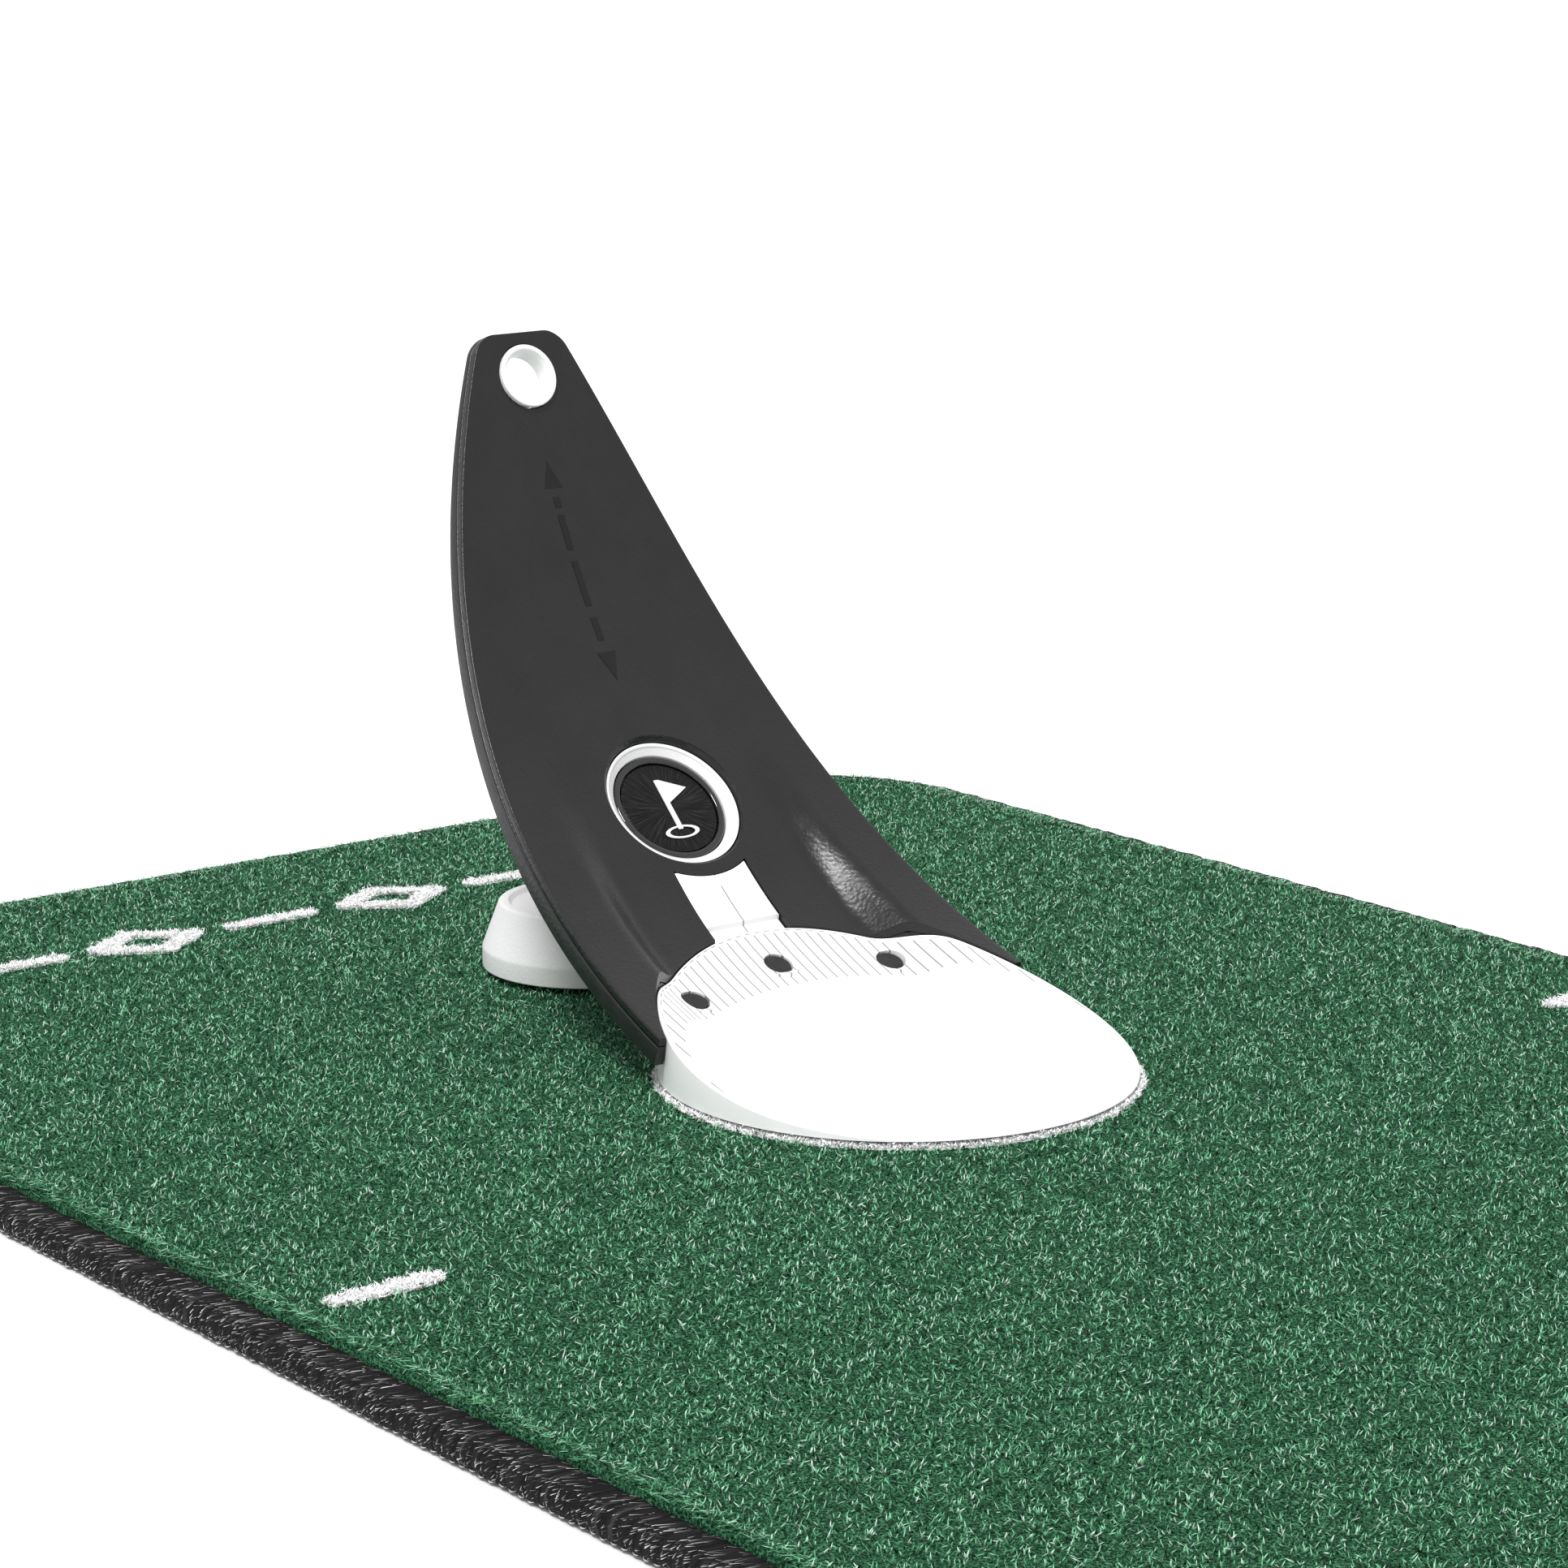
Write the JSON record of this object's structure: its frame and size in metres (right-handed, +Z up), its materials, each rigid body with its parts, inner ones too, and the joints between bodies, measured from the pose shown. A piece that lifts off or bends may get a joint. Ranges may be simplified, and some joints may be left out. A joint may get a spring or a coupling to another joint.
{
  "type": "practice putting mat",
  "caption": "Long turf putting mat with bound edges and a curved ball-return target ramp on a folding weighted foot.",
  "frame": {"origin": "on the floor under the middle of the mat", "axes": "+X along the mat to the end with the ramp, +Y across it, +Z up"},
  "size_m": [2.3998, 0.3998, 0.1588],
  "materials": {
    "backing_rubber": "open-texture rubber",
    "binding_yarn": "serged black yarn with light flecks",
    "black_plastic": "leather-grained black ABS",
    "brushed_badge": "black anodised, spun brushing",
    "disc_plastic": "smooth black plastic",
    "fastener_steel": "zinc-plated steel",
    "foot_rubber": "soft grip rubber",
    "gloss_bezel": "polished black",
    "icon_white": "printed white",
    "plug_rubber": "moulded rubber",
    "turf": "dense short curled green pile with white pile marks",
    "washer_nylon": "natural nylon",
    "weight_steel": "plain steel",
    "white_lip": "smooth satin white ABS with fine grooves",
    "white_plastic": "fine spark-textured white ABS"
  },
  "bodies": {
    "mat": {"mat_backing": "backing_rubber", "mat_turf": "turf", "mat_edge_binding": "binding_yarn"},
    "trainer": {"bracket_screw_1": "fastener_steel", "bracket_screw_2": "fastener_steel", "cup_screw_1": "fastener_steel", "cup_screw_2": "fastener_steel", "cup_screw_3": "fastener_steel", "friction_washer_1": "washer_nylon", "friction_washer_2": "washer_nylon", "hinge_bracket": "white_plastic", "hinge_pin": "fastener_steel", "hinge_screw_1": "fastener_steel", "hinge_screw_2": "fastener_steel", "lip_plate": "white_lip", "lip_plug_1": "plug_rubber", "lip_plug_2": "plug_rubber", "lip_plug_3": "plug_rubber", "lip_screw_1": "fastener_steel", "lip_screw_2": "fastener_steel", "lip_screw_3": "fastener_steel", "plunger_spring": "fastener_steel", "ramp_back_shell": "black_plastic", "ramp_skin": "black_plastic", "target_cup": "white_plastic", "toe_bracket": "black_plastic", "top_grommet": "white_plastic"},
    "target_disc": {"target_plunger": "disc_plastic", "target_bezel": "gloss_bezel", "target_badge": "brushed_badge", "badge_icon": "icon_white", "stem_clip": "fastener_steel"},
    "leg": {"leg_strut": "white_plastic", "foot_shell": "white_plastic", "foot_weight": "weight_steel", "foot_pad": "foot_rubber", "foot_screw": "fastener_steel"}
  },
  "joints": [
    {"name": "trainer_lift", "type": "slide", "parent": "mat", "child": "trainer", "axis": [0, 0, 1], "range_m": [0, 0.15]},
    {"name": "target_travel", "type": "slide", "parent": "trainer", "child": "target_disc", "axis": [-0.6997, 0, 0.7145], "range_m": [0, 0.0031]},
    {"name": "leg_fold", "type": "hinge", "parent": "trainer", "child": "leg", "pos_m": [1.02951, 0, 0.03959], "axis": [0, -1, 0], "range_deg": [0, 84]}
  ]
}
